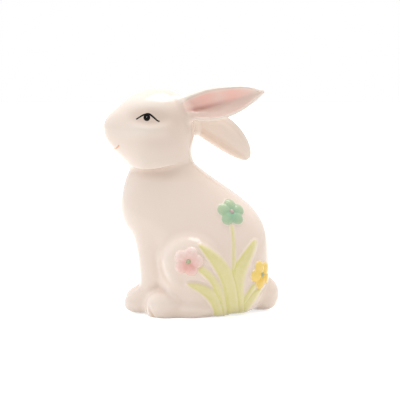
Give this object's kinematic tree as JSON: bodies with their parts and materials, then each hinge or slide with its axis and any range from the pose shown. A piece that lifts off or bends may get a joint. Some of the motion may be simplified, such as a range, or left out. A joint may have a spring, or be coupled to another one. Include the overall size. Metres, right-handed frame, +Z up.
{
  "type": "ceramic rabbit figurine",
  "caption": "Seated glazed ceramic rabbit, hollow cast, one ear laid back and the other drooping, with raised flowers and leaves on its left flank; stands free on a flat foot.",
  "frame": {"origin": "centre of the vent hole, in the plane of the foot that the rabbit stands on", "axes": "+Z up; the rabbit looks along -X; its left flank, with the flowers, faces -Y"},
  "size_m": [0.11, 0.0715, 0.1425],
  "materials": {
    "cream_glaze": "clear gloss glaze over cream earthenware",
    "teal_colour": "underglaze colour beneath clear gloss glaze",
    "pink_colour": "underglaze colour beneath clear gloss glaze",
    "yellow_colour": "underglaze colour beneath clear gloss glaze",
    "leaf_green_colour": "underglaze colour beneath clear gloss glaze",
    "lavender_colour": "underglaze colour beneath clear gloss glaze"
  },
  "bodies": {
    "root": {"torso_casting": "cream_glaze", "head_casting": "cream_glaze", "left_ear": "cream_glaze", "right_ear": "cream_glaze", "left_foreleg": "cream_glaze", "right_foreleg": "cream_glaze", "left_haunch": "cream_glaze", "right_haunch": "cream_glaze", "left_hind_foot": "cream_glaze", "right_hind_foot": "cream_glaze", "tail": "cream_glaze", "teal_flower_petals": "teal_colour", "teal_flower_centre": "lavender_colour", "pink_flower_petals": "pink_colour", "pink_flower_centre": "leaf_green_colour", "yellow_flower_petals": "yellow_colour", "yellow_flower_centre": "leaf_green_colour", "tall_leaf": "leaf_green_colour", "right_leaf": "leaf_green_colour", "low_leaf": "leaf_green_colour", "small_leaf": "leaf_green_colour", "teal_stem": "leaf_green_colour", "pink_stem": "leaf_green_colour", "yellow_stem": "leaf_green_colour"}
  },
  "joints": []
}
